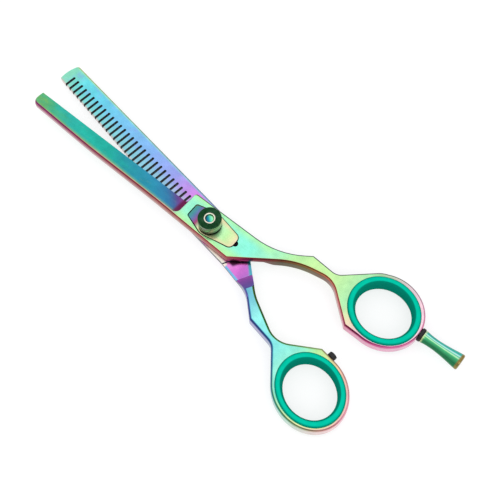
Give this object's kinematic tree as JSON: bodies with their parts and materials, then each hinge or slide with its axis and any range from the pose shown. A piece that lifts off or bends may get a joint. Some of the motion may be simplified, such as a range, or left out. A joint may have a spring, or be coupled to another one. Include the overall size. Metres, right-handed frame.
{
  "type": "thinning shears",
  "caption": "Hair thinning shears: a plain blade and a slotted comb blade on a pivot with a tension knob, offset handles with rubber-lined rings and a screw-on finger rest.",
  "frame": {"origin": "on the pivot axis, at the flat underside of the pivot screw's head, in the plane that the shears lie on", "axes": "+X along the plain blade towards its tip, +Z along the pivot from screw head to tension knob, and -Y towards the side that the comb blade opens to; the comb half is stored 8.3 degrees open"},
  "size_m": [0.1684, 0.0602, 0.0109],
  "materials": {
    "plain_half_coat": "polished steel with a rainbow titanium coat, green at the tip to violet at the heel",
    "comb_half_coat": "polished steel with a rainbow titanium coat, aqua at the tip to violet at the pivot",
    "plate_coat": "polished steel with a mint titanium coat",
    "screw_coat": "polished steel with a teal titanium coat",
    "knob_coat": "polished dark green coat",
    "core_nickel": "polished nickel",
    "rest_coat": "polished metal with a teal titanium coat",
    "bare_steel": "turned steel",
    "nylon": "natural white nylon",
    "insert_rubber": "smooth teal silicone",
    "black_rubber": "smooth black rubber"
  },
  "bodies": {
    "plain_half": {"plain_blade_half": "plain_half_coat", "finger_ring_insert": "insert_rubber", "pivot_screw": "screw_coat", "glide_washer": "nylon", "tension_plate": "plate_coat", "spring_washer": "bare_steel"},
    "comb_half": {"comb_blade_half": "comb_half_coat", "thumb_ring_insert": "insert_rubber", "ring_bumper": "black_rubber", "screw_head_washer": "nylon"},
    "knob": {"tension_knob": "knob_coat", "knob_core": "core_nickel"},
    "rest_washer": {"finger_rest_washer": "black_rubber"},
    "rest": {"finger_rest": "rest_coat", "finger_rest_stud": "bare_steel"}
  },
  "joints": [
    {"name": "blade_pivot", "type": "hinge", "parent": "plain_half", "child": "comb_half", "pos_m": [0, 0, 0.0036], "axis": [0, 0, 1], "range_deg": [-52, 7.5]},
    {"name": "knob_turn", "type": "hinge", "parent": "plain_half", "child": "knob", "pos_m": [0, 0, 0.0089], "axis": [0, 0, 1], "range_deg": [-90, 180]},
    {"name": "rest_travel", "type": "slide", "parent": "plain_half", "child": "rest_washer", "axis": [-0.9996, -0.0279, 0], "range_m": [0, 0.0015]},
    {"name": "rest_turn", "type": "hinge", "parent": "rest_washer", "child": "rest", "pos_m": [-0.0756, -0.01395, 0.0036], "axis": [-0.9996, -0.0279, 0], "range_deg": [0, 1080.02]}
  ],
  "couplings": [
    {"joint": "rest_turn", "follows": "rest_travel", "rad_per_m": 12566}
  ]
}
